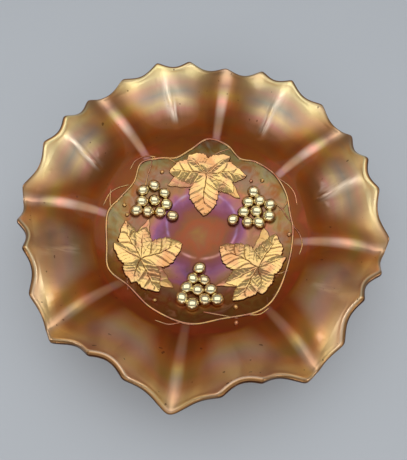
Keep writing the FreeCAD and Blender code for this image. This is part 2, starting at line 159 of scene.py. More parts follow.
class Bench:
    """Workbench that builds the shader of one material."""

    def __init__(self, name: str) -> None:
        """Start an empty material.

        Args:
            name: the material's name.
        """
        self.material = bpy.data.materials.new(name)
        self.material.use_nodes = True
        self.tree = self.material.node_tree
        self.tree.nodes.clear()

    def node(self, kind: str, settings: dict | None = None, inputs: dict | None = None,
             out: int | str = 0) -> Wire:
        """Add one node.

        Args:
            kind: the node's type.
            settings: attributes set first; "stops" fills a ramp.
            inputs: values or wires by socket name or number.
            out: the output wanted.

        Returns:
            That output.
        """
        made = self.tree.nodes.new(kind)
        for key, value in (settings or {}).items():
            if key == "stops":
                self._fill_ramp(made.color_ramp, value)
            else:
                setattr(made, key, value)
        for key, value in (inputs or {}).items():
            if isinstance(value, Wire):
                self.tree.links.new(value.socket, made.inputs[key])
            else:
                made.inputs[key].default_value = value
        return Wire(self, made.outputs[out])

    @staticmethod
    def _fill_ramp(ramp: bpy.types.ColorRamp, stops: Sequence[tuple[float, str]]) -> None:
        """Write stops into a colour ramp.

        Args:
            ramp: a new ramp.
            stops: places along it and their hex colours.
        """
        while len(ramp.elements) < len(stops):
            ramp.elements.new(0.5)
        for element, (place, code) in zip(ramp.elements, stops):
            element.position = place
            element.color = paint(code)

    def attribute(self, name: str) -> Wire:
        """Number stored on the mesh's points."""
        return self.node("ShaderNodeAttribute", {"attribute_name": name}, out="Fac")

    def place(self) -> Wire:
        """Position on the object, in metres."""
        return self.node("ShaderNodeTexCoord", out="Object")

    def noise(self, scale: float, detail: float = 3.0, vector: "Wire | None" = None,
              distortion: float = 0.0) -> Wire:
        """Cloudy noise from 0 to 1, scale in features per metre of the vector."""
        return self.node("ShaderNodeTexNoise", None, {
            "Vector": vector or self.place(), "Scale": scale, "Detail": detail,
            "Distortion": distortion}, out="Fac")

    def combine(self, x: "Wire | float", y: "Wire | float", z: "Wire | float") -> Wire:
        """Vector of three numbers."""
        return self.node("ShaderNodeCombineXYZ", None, {"X": x, "Y": y, "Z": z})

    def mix(self, share: "Wire | float", first: "Wire | Colour", second: "Wire | Colour",
            blend: str = "MIX") -> Wire:
        """Blend two colours.

        Args:
            share: 0 for the first, 1 for the second.
            first: colour below.
            second: colour above.
            blend: the way of blending.

        Returns:
            The blended colour.
        """
        return self.node("ShaderNodeMix", {"data_type": "RGBA", "blend_type": blend},
                         {0: share, 6: first, 7: second}, out=2)

    def bump(self, height: Wire, depth: float, before: "Wire | None" = None) -> Wire:
        """Normal bent by a height of 0 to 1.

        Args:
            height: the relief.
            depth: its full depth in metres.
            before: a normal already bent by coarser relief.

        Returns:
            The new normal.
        """
        inputs = {"Height": height, "Distance": depth, "Strength": 1.0}
        if before is not None:
            inputs["Normal"] = before
        return self.node("ShaderNodeBump", None, inputs)

    def glass(self, **values: "Wire | float | Colour") -> Wire:
        """Principled shader; keys are its sockets with underscores for spaces."""
        inputs = {key.replace("_", " "): value for key, value in values.items()}
        return self.node("ShaderNodeBsdfPrincipled", None, inputs)

    def close(self, shader: Wire) -> bpy.types.Material:
        """Send a shader to the surface.

        Args:
            shader: the finished shader.

        Returns:
            The material.
        """
        end = self.tree.nodes.new("ShaderNodeOutputMaterial")
        self.tree.links.new(shader.socket, end.inputs["Surface"])
        return self.material


# ------------------------------------------------------------------ mesh workshop


def mesh_piece(name: str, points: np.ndarray, faces: Sequence[Sequence[int]],
               numbers: dict[str, np.ndarray] | None = None,
               crisp: float = 42.0) -> bpy.types.Object:
    """Make an object from points and faces.

    Args:
        name: the piece's name.
        points: one row of three coordinates a point, in metres.
        faces: point numbers of each face, seen anticlockwise from outside.
        numbers: numbers kept on the points for the finish to read.
        crisp: edges that turn by more degrees than this stay sharp.

    Returns:
        The object, linked to the scene.
    """
    mesh = bpy.data.meshes.new(name)
    mesh.from_pydata(np.asarray(points).tolist(), [], [list(map(int, face)) for face in faces])
    for key, values in (numbers or {}).items():
        layer = mesh.attributes.new(key, "FLOAT", "POINT")
        layer.data.foreach_set("value", np.asarray(values, dtype=np.float32).ravel())
    mesh.shade_smooth()
    mesh.set_sharp_from_angle(angle=math.radians(crisp))
    made = bpy.data.objects.new(name, mesh)
    bpy.context.scene.collection.objects.link(made)
    return made


def ring_faces(around: int, along: int, close_rows: bool) -> np.ndarray:
    """Quads of a net that closes round the bowl.

    Args:
        around: points round the bowl.
        along: points in one row.
        close_rows: whether each row comes back to its start too.

    Returns:
        Four point numbers a face.
    """
    spans = along if close_rows else along - 1
    i, j = np.meshgrid(np.arange(around), np.arange(spans), indexing="ij")
    next_i, next_j = (i + 1) % around, (j + 1) % along
    corners = [i * along + j, i * along + next_j, next_i * along + next_j, next_i * along + j]
    return np.stack([c.ravel() for c in corners], axis=1)


@dataclass(frozen=True)
class Part:
    """Which CAD nodes a finished piece stands in for, and its slot's name."""

    nodes: tuple[str, ...]
    slot: str

    def settle(self, piece: bpy.types.Object, finish: bpy.types.Material) -> bpy.types.Object:
        """Dress a piece and put it in the place of its CAD nodes.

        Args:
            piece: the object, already where it belongs.
            finish: its material.

        Returns:
            The same object.
        """
        piece.data.materials.append(finish)
        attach(piece, BODY)
        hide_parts(*self.nodes)
        log.info("made %s: %d points", piece.name, len(piece.data.vertices))
        return piece


# ------------------------------------------------------------------ shape of the glass


@dataclass(frozen=True)
class GlassForm:
    """Shape shared by floor, wall and edge, in metres and radians."""

    underside: float = 2.0 * MM
    floor_glass: float = 4.0 * MM
    dish: float = 137.5 * MM
    well: float = 68.0 * MM
    rim: float = 112.0 * MM
    rim_low: float = 43.1 * MM
    ruffle_depth: float = 14.0 * MM
    ruffle_rise: float = 21.3 * MM
    low_flare: float = math.radians(17)
    high_flare: float = math.radians(62)
    band: float = 8.0 * MM
    edge_glass: float = 3.2 * MM
    scallop_depth: float = 3.8 * MM
    ruffles: int = 8
    scallops: int = 28
    start: float = math.radians(-97.2)
    drift: float = math.radians(3.6)
    crease: float = 1.46
    sway: float = 0.35 * MM
    crimp: float = 0.32 * MM
    crimp_width: float = math.radians(1.8)

    @property
    def dish_centre(self) -> float:
        """Height of the middle of the ball that the floor's upper face belongs to."""
        return self.underside + self.floor_glass + self.dish

    def dish_height(self, radius: np.ndarray) -> np.ndarray:
        """Height of the floor's upper face at a distance from the axis."""
        return self.dish_centre - np.sqrt(self.dish**2 - np.square(radius))

    def phase(self, azimuth: np.ndarray, share: np.ndarray) -> np.ndarray:
        """Angle that turns once a ruffle; the folds crowd to one side only towards the edge."""
        crowd = self.drift * np.clip(share, 0, 1)**1.5
        return self.ruffles * (azimuth - self.start + crowd * np.cos(azimuth))

    def fold(self, azimuth: np.ndarray, share: np.ndarray | float = 1.0) -> np.ndarray:
        """0 at an out fold, 1 at an in fold."""
        return np.abs(np.sin(self.phase(azimuth, share) / 2)) ** self.crease

    def crimp_line(self, azimuth: np.ndarray, share: np.ndarray) -> np.ndarray:
        """Narrow ridge that the crimping tool leaves down each in fold.

        Args:
            azimuth: angles round the bowl.
            share: 0 to 1 from the floor to the edge band.

        Returns:
            1 on the ridge, 0 away from it.
        """
        phase = self.phase(azimuth, share)
        wander = 0.012 * np.sin(5.5 * share + 9 * np.sin(3 * azimuth))
        off = (np.mod(phase / 2, math.pi) - math.pi / 2) * 2 / self.ruffles + wander
        ends = np.clip((share - 0.14) / 0.14, 0, 1) * np.clip((1.02 - share) / 0.2, 0, 1)
        return np.exp(-np.square(off / self.crimp_width)) * ends

    def scallop(self, azimuth: np.ndarray) -> np.ndarray:
        """Wave of the scalloped edge.

        Args:
            azimuth: angles round the bowl.

        Returns:
            0 on a point of the edge, 1 in the middle of a hollow.
        """
        softness = 0.15
        wave = np.hypot(np.sin(self.scallops * (azimuth - self.start) / 2), softness) - softness
        return wave / (math.hypot(1, softness) - softness)

    def glass(self, share: np.ndarray) -> np.ndarray:
        """Thickness of the wall at a share of its way from the floor to the edge."""
        return self.floor_glass + (self.edge_glass - self.floor_glass) * np.clip(share, 0, 1)

    def _upper(self, azimuth: np.ndarray, share: np.ndarray, out: np.ndarray | float) -> np.ndarray:
        """Upper face before the hand finish.

        Args:
            azimuth: angles round the bowl.
            share: 0 to 1 from the floor to the edge band.
            out: metres straight on past the share.

        Returns:
            Points.
        """
        fold = self.fold(azimuth, share)
        flare = self.low_flare + (self.high_flare - self.low_flare) * fold
        slope = math.asin(self.well / self.dish)
        root = (self.well + 0 * fold, self.dish_centre - self.dish * math.cos(slope) + 0 * fold)
        top = (self.rim - self.ruffle_depth * fold - self.band * np.cos(flare),
               self.rim_low + self.ruffle_rise * fold - self.band * np.sin(flare))
        reach = np.hypot(top[0] - root[0], top[1] - root[1]) / 3
        low = (root[0] + reach * math.cos(slope), root[1] + reach * math.sin(slope))
        high = (top[0] - reach * np.cos(flare), top[1] - reach * np.sin(flare))
        weights = [(1 - share)**3, 3 * share * (1 - share)**2, 3 * share**2 * (1 - share), share**3]
        radius, height = (sum(w * c[k] for w, c in zip(weights, (root, low, high, top)))
                          for k in (0, 1))
        radius = radius + out * np.cos(flare)
        height = height + out * np.sin(flare)
        return np.stack(np.broadcast_arrays(radius * np.cos(azimuth), radius * np.sin(azimuth),
                                            height), axis=-1)

    def face(self, azimuth: np.ndarray, share: np.ndarray,
             out: np.ndarray | float = 0.0) -> tuple[np.ndarray, np.ndarray]:
        """Upper face of wall and edge with the slow waver of hand-finished glass.

        Args:
            azimuth: angles round the bowl.
            share: 0 to 1 from the floor to the edge band.
            out: metres straight on past the share.

        Returns:
            Points, and the directions into the glass.
        """
        small = 1e-4
        here = self._upper(azimuth, share, out)
        across = (self._upper(azimuth + small, share, out)
                  - self._upper(azimuth - small, share, out))
        along = (self._upper(azimuth, share, out + small * self.band)
                 - self._upper(azimuth, share, out - small * self.band)
                 if np.all(np.asarray(share) == 1)
                 else self._upper(azimuth, share + small, out)
                 - self._upper(azimuth, share - small, out))
        inward = np.cross(across, along)
        inward /= np.linalg.norm(inward, axis=-1, keepdims=True)
        waver = (np.sin(3 * azimuth + 0.7 + 1.5 * share) + 0.7 * np.sin(7 * azimuth + 2.9)
                 + 0.5 * np.sin(13 * azimuth + 4.4 + 2.5 * share)) / 2.2
        lift = (self.sway * np.clip(share, 0, 1)**2 * waver
                + self.crimp * self.crimp_line(azimuth, share))
        return here - inward * lift[..., None], inward


@dataclass(frozen=True)
class Foot:
    """Turned collar foot under the floor."""

    form: GlassForm
    outer: float = 46.0 * MM
    width: float = 5.0 * MM
    draft: float = math.radians(6)
    corner: float = 0.8 * MM
    sunk: float = 0.2 * MM
    around: int = 256
    part: Part = Part(("collar_foot_ring",), "plain_amber_foot")

    def _top(self, radius: float) -> float:
        """Height of the floor's underside at a distance from the axis."""
        under = self.form.dish + self.form.floor_glass
        return self.form.dish_centre - math.sqrt(under**2 - radius**2)

    def build(self, finish: bpy.types.Material) -> bpy.types.Object:
        """Turn the ring's section round the axis.

        Args:
            finish: the piece's material.

        Returns:
            The finished piece.
        """
        lean = math.tan(self.draft)
        top = self._top
        inner = self.outer - self.width
        section = [(inner - lean * top(inner), top(inner - lean * top(inner)) + self.sunk)]
        section += [(inner - lean * share * top(inner), share * top(inner))
                    for share in np.linspace(0.95, 0.2, 6)]
        for middle, first in ((inner + self.corner, math.pi),
                              (self.outer - self.corner, 1.5 * math.pi)):
            section += [(middle + self.corner * math.cos(turn), self.corner * (1 + math.sin(turn)))
                        for turn in np.linspace(first, first + math.pi / 2, 6)]
        section += [(self.outer + lean * share * top(self.outer), share * top(self.outer))
                    for share in np.linspace(0.2, 0.95, 6)]
        edge = self.outer + lean * top(self.outer)
        section += [(edge, top(edge) + self.sunk)]
        turns = np.linspace(0, 2 * math.pi, self.around, endpoint=False)[:, None]
        radius, height = np.array(section).T
        waver = 1 + 0.0012 * np.sin(2 * turns + 0.6) + 0.0006 * np.sin(5 * turns + 2)
        points = np.stack(np.broadcast_arrays(radius * waver * np.cos(turns),
                                              radius * waver * np.sin(turns), height), axis=-1)
        faces = ring_faces(self.around, len(section), True)
        return self.part.settle(mesh_piece("foot_ring_glass", points.reshape(-1, 3), faces), finish)


@dataclass(frozen=True)
class Floor:
    """Round dished floor that carries the wreath."""

    form: GlassForm
    vine: np.ndarray
    rings: int = 90
    around: int = 448
    part: Part = Part(("well_floor",), "lustre_floor")

    def build(self, finish: bpy.types.Material) -> bpy.types.Object:
        """Make both faces as rings of points with one point at each middle.

        Args:
            finish: the piece's material.

        Returns:
            The finished piece.
        """
        form = self.form
        turns = np.linspace(0, 2 * math.pi, self.around, endpoint=False)[:, None]
        shares = np.linspace(0, 1, self.rings + 1)[1:]
        upper = np.stack([form.well * shares, form.dish_height(form.well * shares)])
        under = form.dish + form.floor_glass
        low = form.well * under / form.dish * shares[::-1]
        lower = np.stack([low, form.dish_centre - np.sqrt(under**2 - low**2)])
        radius, height = np.concatenate([upper, lower], axis=1)
        points = np.stack(np.broadcast_arrays(radius * np.cos(turns), radius * np.sin(turns),
                                              height), axis=-1)
        rows = len(radius)
        count = self.around * rows
        points = np.concatenate([points.reshape(-1, 3), [[0, 0, form.underside + form.floor_glass],
                                                         [0, 0, form.underside]]])
        faces = ring_faces(self.around, rows, False).tolist()
        for i in range(self.around):
            after = (i + 1) % self.around
            faces.append([count, i * rows, after * rows])
            faces.append([count + 1, after * rows + rows - 1, i * rows + rows - 1])
        inside = np.tile(np.arange(rows) < self.rings, self.around)
        angles = np.arctan2(self.vine[:, 1], self.vine[:, 0])
        order = np.argsort(angles)
        line = np.interp(turns, angles[order], np.hypot(*self.vine[order].T), period=2 * math.pi)
        fold = form.fold(turns + 0 * radius, 0.0).ravel()
        numbers = {"inside": np.append(inside, [1, 0]), "fold": np.append(fold, [1, 1]),
                   "past_vine": np.append(((radius - line) / MM).ravel(), [-60, -60])}
        return self.part.settle(mesh_piece("floor_glass", points, faces, numbers), finish)


@dataclass(frozen=True)
class Wall:
    """Flared wall folded into ruffles."""

    form: GlassForm
    around: int = 880
    rows: int = 50
    back_rows: int = 24
    part: Part = Part(("ruffled_wall",), "lustre_wall")

    def build(self, finish: bpy.types.Material) -> bpy.types.Object:
        """Make the upper face, then the lower face a glass thickness behind it.

        Args:
            finish: the piece's material.

        Returns:
            The finished piece.
        """
        azimuth = np.linspace(0, 2 * math.pi, self.around, endpoint=False)[:, None]
        share = np.linspace(0, 1, self.rows)[None, :]
        back = np.linspace(1, 0, self.back_rows)[None, :]
        upper, _ = self.form.face(azimuth, share * np.ones_like(azimuth))
        behind, inward = self.form.face(azimuth, back * np.ones_like(azimuth))
        lower = behind + inward * self.form.glass(back)[..., None]
        points = np.concatenate([upper, lower], axis=1)
        reach = np.tile(np.concatenate([share, back], axis=1), (self.around, 1))
        inside = np.tile(np.arange(reach.shape[1]) < self.rows, (self.around, 1))
        fold = self.form.fold(azimuth, reach)
        faces = ring_faces(self.around, points.shape[1], True)
        numbers = {"reach": reach, "fold": fold, "inside": inside,
                   "crimp": self.form.crimp_line(azimuth, reach)}
        return self.part.settle(
            mesh_piece("wall_glass", points.reshape(-1, 3), faces, numbers), finish)


@dataclass(frozen=True)
class Edge:
    """Scalloped, fire-rounded band that ends the wall."""

    form: GlassForm
    around: int = 1120
    nose: float = 1.7 * MM
    part: Part = Part(("scalloped_edge",), "lustre_edge")

    def build(self, finish: bpy.types.Material) -> bpy.types.Object:
        """Carry the wall's section straight on and round its end.

        Args:
            finish: the piece's material.

        Returns:
            The finished piece.
        """
        form = self.form
        azimuth = np.linspace(0, 2 * math.pi, self.around, endpoint=False)[:, None]
        length = form.band - form.scallop_depth * form.scallop(azimuth)
        straight = length - self.nose
        turn = np.linspace(0, math.pi, 15)[None, 1:-1]
        out = np.concatenate([straight * np.linspace(0, 1, 9), straight + self.nose * np.sin(turn),
                              straight * np.linspace(1, 0, 7)], axis=1)
        swell = 0.05 * np.exp(-np.square((np.linspace(0, 1, 9) - 1) / 0.3))
        down = np.concatenate([-swell, 0.5 - 0.55 * np.cos(turn[0]),
                               1 + swell[::-1][np.linspace(0, 8, 7).astype(int)]])
        ones = np.ones_like(out)
        upper, inward = form.face(azimuth, ones, out)
        points = upper + inward * (form.edge_glass * down)[None, :, None]
        numbers = {
            "reach": 1 + out / BAND_REACH,
            "fold": form.fold(azimuth) * ones,
            "inside": np.clip(0.5 - 4 * (down - 0.5), 0, 1) * ones,
            "nose": np.clip((out - straight) / self.nose, 0, 1),
            "hollow": form.scallop(azimuth) * ones,
        }
        faces = ring_faces(self.around, points.shape[1], True)
        return self.part.settle(
            mesh_piece("edge_glass", points.reshape(-1, 3), faces, numbers), finish)


# ------------------------------------------------------------------ wreath


@dataclass(frozen=True)
class Wreath:
    """Layout of the raised wreath on the dish."""

    form: GlassForm
    turn: float = -2.2
    vine_margin: float = 6.7 * MM
    stalk_run: float = 17.8 * MM
    plain_middle: float = 14.5 * MM

    @property
    def vine_radius(self) -> float:
        """Mean radius of the vine."""
        return self.form.well - self.vine_margin

    @property
    def leaf_reach(self) -> float:
        """Distance from the axis to the place where a leaf joins its stalk."""
        return self.vine_radius - self.stalk_run

    @property
    def leaf_length(self) -> float:
        """Length of a leaf's middle lobe."""
        return self.leaf_reach - self.plain_middle

    def spoke(self, degrees: float, share: float) -> np.ndarray:
        """Flat point on a spoke of the wreath at a share of the vine's radius."""
        angle = math.radians(degrees + self.turn)
        return np.array([math.cos(angle), math.sin(angle)]) * share * self.vine_radius

    def on_dish(self, flat: np.ndarray, height: np.ndarray | float) -> np.ndarray:
        """Lift flat points onto the dish.

        Args:
            flat: level points.
            height: metres further, square to the dish.

        Returns:
            Points in space.
        """
        low = self.form.dish_height(np.hypot(flat[..., 0], flat[..., 1]))
        foot = np.concatenate([flat, low[..., None]], axis=-1)
        up = (np.array([0, 0, self.form.dish_centre]) - foot) / self.form.dish
        return foot + up * np.asarray(height)[..., None]


def loose_balls(node: str) -> list[tuple[Vector, float]]:
    """Middles and radii of the separate balls of a CAD node, in metres.

    Args:
        node: the node's name.

    Returns:
        A middle and a radius for each ball, read from its widest level.
    """
    made = bmesh.new()
    made.from_mesh(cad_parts[node].data)
    bmesh.ops.remove_doubles(made, verts=made.verts, dist=1e-6)
    left = set(made.verts)
    balls = []
    while left:
        ball = {left.pop()}
        edge = list(ball)
        while edge:
            near = {e.other_vert(v) for v in edge for e in v.link_edges} - ball
            ball |= near
            edge = list(near)
        left -= ball
        low, high = ([pick(v.co[k] for v in ball) for k in range(3)] for pick in (min, max))
        radius = (high[0] - low[0] + high[1] - low[1]) / 4
        balls.append((Vector(((low[0] + high[0]) / 2, (low[1] + high[1]) / 2,
                              high[2] - radius)), radius))
    made.free()
    return sorted(balls, key=lambda ball: ball[0][:])


@dataclass(frozen=True)
class Balls:
    """Round pressed balls: one bunch of grapes or one spray of buds."""

    node: str
    slot: str
    plump: float
    uneven: float
    detail: int
    seed: int

    def build(self, finish: bpy.types.Material) -> bpy.types.Object:
        """Make every ball a little out of round, as pressed glass is.

        Args:
            finish: the piece's material.

        Returns:
            The finished piece.
        """
        chance = np.random.default_rng(self.seed)
        points, faces, crowns = [], [], []
        for middle, radius in loose_balls(self.node):
            ball = bmesh.new()
            bmesh.ops.create_icosphere(ball, subdivisions=self.detail, radius=radius)
            shape = np.array([v.co[:] for v in ball.verts])
            start = sum(len(p) for p in points)
            faces += [[start + v.index for v in face.verts] for face in ball.faces]
            ball.free()
            pull = chance.normal(0, self.uneven, (3, 3))
            shape = shape @ (np.diag([self.plump, self.plump, 1.0]) + (pull + pull.T) / 2)
            shape[:, 2] -= shape[:, 2].max() - radius
            points.append(shape + np.array(middle))
            # Painted shade: lit falls towards each ball's lower side.
            crowns.append(np.clip((shape[:, 2] / radius - 0.05) / 0.4, 0, 1))
        numbers = {"lit": np.concatenate(crowns)}
        piece = mesh_piece(f"{self.node}_glass", np.concatenate(points), faces, numbers, 180)
        return Part((self.node,), self.slot).settle(piece, finish)


@dataclass(frozen=True)
class Lobe:
    """One pointed lobe of a leaf: degrees from the middle lobe, length, width and side veins."""

    swing: float
    length: float
    width: float
    veined: bool = True


@dataclass(frozen=True)
class Leaf:
    """Relief leaf, or the plain leaflets under it, made as a height over the dish."""

    wreath: Wreath
    name: str
    node: str
    slot: str
    turn: float
    lobes: tuple[Lobe, ...]
    step: float
    swell: float
    veins: float
    teeth: float
    clear: tuple[tuple[float, float, float], ...] = ()
    grid: float = 0.21 * MM
    line_width: float = 0.24 * MM
    lobe_blend: float = 0.45 * MM
    sunk: float = 0.6 * MM

    def _lobe_fields(self, lobe: Lobe, x: np.ndarray, y: np.ndarray) -> dict[str, np.ndarray]:
        """Depth inside one lobe's outline and its veins, for flat points from the leaf's base.

        Args:
            lobe: the lobe.
            x: metres towards the middle lobe's tip.
            y: metres to its left.

        Returns:
            Fields by name.
        """
        size = self.wreath.leaf_length
        length, half = lobe.length * size, lobe.width * size / 2
        angle = math.radians(lobe.swing)
        along = x * math.cos(angle) + y * math.sin(angle)
        bow = 0.07 * length * math.sin(angle) * np.sin(math.pi * np.clip(along / length, 0, 1))
        side = -x * math.sin(angle) + y * math.cos(angle) - bow
        share = np.clip(along / length, 1e-6, 1)
        bulge = half * np.sin(math.pi * share**0.8) ** 0.75
        spacing = 0.25 * length
        # Side veins leave the midrib at a slant, bend forward and end between two teeth.
        wide = np.abs(side)
        count = (along - 0.85 * wide + 0.35 * wide**2 / half) / spacing + 0.3 * np.sign(side)
        fine = 2 * count + 0.2
        saw = fine - np.floor(fine)
        bulge = bulge * (1 - self.teeth * (1 - saw) * np.clip(share * 4, 0, 1))
        inside = np.minimum(bulge - wide, np.minimum(along, length - along) + 0.4 * MM)
        rib = np.exp(-np.square(side / self.line_width)) * np.clip((0.85 - share) * 3, 0, 1)
        fade = np.clip((bulge - wide) / (0.3 * half), 0, 1)
        gap = np.abs(count - np.round(count)) * spacing
        vein = np.exp(-np.square(gap / self.line_width)) * fade * np.clip(share * 6 - 0.5, 0, 1)
        rise = np.sqrt(np.abs(np.sin(math.pi * count)) + 1e-6) * np.clip(share * 5, 0, 1)
        vein, rise = (vein, rise) if lobe.veined else (0 * vein, 0.7 + 0 * rise)
        creases = np.sin(wide / (0.5 * MM) + 2.5 * np.sin(along / (1.1 * MM)))
        return {"inside": inside, "rib": rib, "vein": vein, "pillow": rise,
                "dome": np.clip(inside / half, 0, 1), "share": share, "crease": creases}

    def build(self, finish: bpy.types.Material) -> bpy.types.Object:
        """Sample the height on a fine net, keep what lies inside the outline and close it below.

        Args:
            finish: the piece's material.

        Returns:
            The finished piece.
        """
        wreath = self.wreath
        angle = math.radians(self.turn + wreath.turn)
        reach = int(1.06 * wreath.leaf_length / self.grid)
        ticks = np.arange(-reach, reach + 1) * self.grid
        x, y = np.meshgrid(ticks, ticks, indexing="ij")
        # The leaf's x axis runs inwards, from its stalk to the bowl's middle.
        axis = -np.array([math.cos(angle), math.sin(angle)])
        base = -axis * wreath.leaf_reach
        flat = np.stack([base[0] + x * axis[0] - y * axis[1],
                         base[1] + x * axis[1] + y * axis[0]], axis=-1)
        # No two cut leaves are alike, so the net is pushed about a little.
        push = self.turn * 0.1
        bent_x = x + 0.45 * MM * np.sin(y / (2.9 * MM) + push) + 0.2 * MM * np.sin(y / MM + push)
        bent_y = y + 0.5 * MM * np.sin(x / (3.3 * MM) - push) + 0.2 * MM * np.sin(x / MM + push)
        layers = [self._lobe_fields(lobe, bent_x, bent_y) for lobe in self.lobes]
        depths = np.array([layer["inside"] for layer in layers])
        inside = depths.max(axis=0)
        blend = np.exp((depths - inside) / self.lobe_blend)
        blend /= blend.sum(axis=0)
        pick = {key: sum(w * layer[key] for w, layer in zip(blend, layers)) for key in layers[0]}
        for centre_x, centre_y, radius in self.clear:
            gap = np.hypot(flat[..., 0] - centre_x, flat[..., 1] - centre_y) - radius
            inside = np.minimum(inside, gap)
        rise = np.clip(inside / (0.4 * MM) + 0.35, 0, 1)
        dome = np.sqrt(np.clip(pick["dome"], 0, 1))
        body = self.step + self.swell * dome
        groove = self.veins * (0.45 * MM * pick["rib"] + 0.28 * MM * pick["vein"])
        quilt = self.veins * MM * dome * (0.36 * pick["pillow"] + 0.03 * pick["crease"])
        height = rise * (body - groove + quilt) - 0.3 * MM * (1 - rise)
        # Painted shade: lit falls at the outline, along the rib and veins and towards the lobes'
        # edges.
        furrow = np.clip(pick["rib"] + 0.7 * pick["vein"], 0, 1)
        numbers = {"lit": (np.clip(inside / (0.5 * MM), 0, 1) * (1 - 0.65 * self.veins * furrow)
                           * (0.66 + 0.34 * dome))}
        points, faces, kept = net_solid(wreath.on_dish(flat, height),
                                        wreath.on_dish(flat, np.full_like(height, -self.sunk)),
                                        inside > -self.lobe_blend)
        both = {key: np.concatenate([value[kept], value[kept]]) for key, value in numbers.items()}
        piece = mesh_piece(self.name, points, faces, both, 70)
        return Part((self.node,), self.slot).settle(piece, finish)


def net_solid(upper: np.ndarray, lower: np.ndarray,
              wanted: np.ndarray) -> tuple[np.ndarray, list[list[int]], np.ndarray]:
    """Closed solid between two square nets of points.

    Args:
        upper: points of the upper side.
        lower: points of the lower side.
        wanted: which points may be used.

    Returns:
        Points, faces and which points were kept.
    """
    cells = wanted[:-1, :-1] & wanted[1:, :-1] & wanted[:-1, 1:] & wanted[1:, 1:]
    kept = np.zeros_like(wanted)
    for di, dj in ((0, 0), (1, 0), (0, 1), (1, 1)):
        kept[di:di + cells.shape[0], dj:dj + cells.shape[1]] |= cells
    number = np.full(wanted.shape, -1)
    number[kept] = np.arange(kept.sum())
    total = int(kept.sum())
    i, j = np.nonzero(cells)
    corner = [number[i, j], number[i + 1, j], number[i + 1, j + 1], number[i, j + 1]]
    top = np.stack(corner, axis=1)
    faces = top.tolist() + (top[:, ::-1] + total).tolist()
    padded = np.pad(cells, 1)
    sides = {(-1, 0): (3, 0), (1, 0): (1, 2), (0, -1): (0, 1), (0, 1): (2, 3)}
    for (di, dj), (a, b) in sides.items():
        bare = ~padded[i + 1 + di, j + 1 + dj]
        first, second = corner[a][bare], corner[b][bare]
        faces += np.stack([second, first, first + total, second + total], axis=1).tolist()
    return np.concatenate([upper[kept], lower[kept]]), faces, kept


def smooth_line(points: np.ndarray, closed: bool, spacing: float) -> np.ndarray:
    """Points close together on a smooth line through a few.

    Args:
        points: flat points on the way.
        closed: whether the line comes back to its start.
        spacing: about how far apart the new points are.

    Returns:
        Flat points.
    """
    count = len(points)
    spans = count if closed else count - 1
    done = []
    for i in range(spans):
        if closed:
            p0, p1, p2, p3 = (points[(i + k) % count] for k in (-1, 0, 1, 2))
        else:
            p1, p2 = points[i], points[i + 1]
            p0 = points[i - 1] if i else 2 * p1 - p2
            p3 = points[i + 2] if i + 2 < count else 2 * p2 - p1
        steps = max(2, round(float(np.linalg.norm(p2 - p1)) / spacing))
        t = (np.arange(steps) / steps)[:, None]
        done.append(0.5 * (2 * p1 + (p2 - p0) * t + (2 * p0 - 5 * p1 + 4 * p2 - p3) * t**2
                           + (3 * p1 - p0 - 3 * p2 + p3) * t**3))
    if not closed:
        done.append(points[-1:])
    return np.concatenate(done)


@dataclass(frozen=True)
class Runner:
    """Half-round raised line on the dish: the vine, a stalk, a stem or a tendril."""

    wreath: Wreath
    node: str
    line: tuple[tuple[float, float], ...]
    width: float
    relief: float = 1.0 * MM
    closed: bool = False
    end_width: float = 1.0
    seed: int = 1
    around: int = 8
    sunk: float = 0.5 * MM

    def build(self, finish: bpy.types.Material) -> bpy.types.Object:
        """Sweep a half-round section, a little uneven, along the line.

        Args:
            finish: the piece's material.

        Returns:
            The finished piece.
        """
        wreath = self.wreath
        way = np.array([wreath.spoke(*place) for place in self.line])
        flat = smooth_line(way, self.closed, LINE_STEP)
        count = len(flat)
        ahead = np.roll(flat, -1, axis=0) - np.roll(flat, 1, axis=0)
        if not self.closed:
            ahead[0], ahead[-1] = flat[1] - flat[0], flat[-1] - flat[-2]
        ahead /= np.linalg.norm(ahead, axis=1, keepdims=True)
        side = np.stack([-ahead[:, 1], ahead[:, 0]], axis=1)
        run = np.arange(count) / count
        chance = np.random.default_rng(self.seed)
        phases = chance.random(3) * 2 * math.pi
        knots = sum(np.cos(2 * math.pi * run * turns + phase)
                    for turns, phase in zip((5, 11, 23), phases)) / 3
        size = 1 + 0.16 * knots
        if not self.closed:
            size = size * (1 + (self.end_width - 1) * run)
            size = size * np.sqrt(np.clip(np.minimum(run, 1 - run) * 18, 0.02, 1))
        turn = np.linspace(0, math.pi, self.around)
        half = self.width / 2 * size
        spread = half[:, None] * np.cos(turn)[None, :]
        lift = (self.relief * np.minimum(size, 1.1))[:, None] * np.sin(turn)[None, :]
        spread = np.concatenate([spread, spread[:, -1:], spread[:, :1]], axis=1)
        lift = np.concatenate([lift, lift[:, :2] * 0], axis=1) - 0.12 * MM
        lift[:, -2:] = -self.sunk
        net = wreath.on_dish(flat[:, None, :] + side[:, None, :] * spread[..., None], lift)
        rows = net.shape[1]
        faces = ring_faces(count, rows, True)
        if not self.closed:
            faces = faces[faces[:, 0] < (count - 1) * rows].tolist()
            faces.append(list(range(rows))[::-1])
            faces.append([(count - 1) * rows + k for k in range(rows)])
        # Painted shade: lit falls towards the sides of the half-round section.
        crown = np.tile(np.append(0.3 + 0.7 * np.sin(turn), [0, 0]), count)
        piece = mesh_piece(f"{self.node}_glass", net.reshape(-1, 3), faces, {"lit": crown}, 75)
        return Part((self.node,), "rose_vine").settle(piece, finish)


# ------------------------------------------------------------------ finishes


def film(bench: Bench, turns: Wire) -> Wire:
    """Rainbow of a thin metal film: a colour that comes round once a turn."""
    shares = [turns.wave(1.0, shift) for shift in (0.0, -0.33, -0.66)]
    return bench.node("ShaderNodeCombineColor", None, dict(zip(("Red", "Green", "Blue"), shares)))


